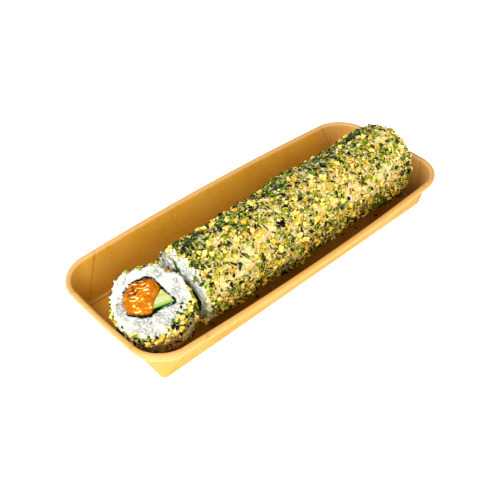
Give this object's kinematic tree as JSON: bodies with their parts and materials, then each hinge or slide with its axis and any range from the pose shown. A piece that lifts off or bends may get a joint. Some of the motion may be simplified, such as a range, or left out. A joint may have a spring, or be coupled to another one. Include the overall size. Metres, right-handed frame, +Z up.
{
  "type": "spicy salmon roll in a paper tray",
  "caption": "Long inside-out salmon and cucumber roll with a crumb and herb coating, a cut slice leaning on its end, in an open paper tray.",
  "frame": {"origin": "middle of the tray's underside, on the surface that it stands on", "axes": "+X along the tray's long side, from the cut slice towards the roll's uncut end; +Z up"},
  "size_m": [0.2396, 0.1004, 0.0487],
  "materials": {
    "kraft": "kraft board with a satin moisture-proof coat",
    "coated_rice": "cooked rice, moist, under dry crumbs and herb flakes",
    "nori": "dried seaweed sheet, slightly moist",
    "salmon": "chopped raw salmon, wet and glossy",
    "cucumber": "fresh cut cucumber, moist, with green skin"
  },
  "bodies": {
    "root": {"tray": "kraft", "roll_rice": "coated_rice", "roll_nori": "nori", "roll_salmon": "salmon", "roll_cucumber": "cucumber", "slice_rice": "coated_rice", "slice_nori": "nori", "slice_salmon": "salmon", "slice_cucumber": "cucumber"}
  },
  "joints": []
}
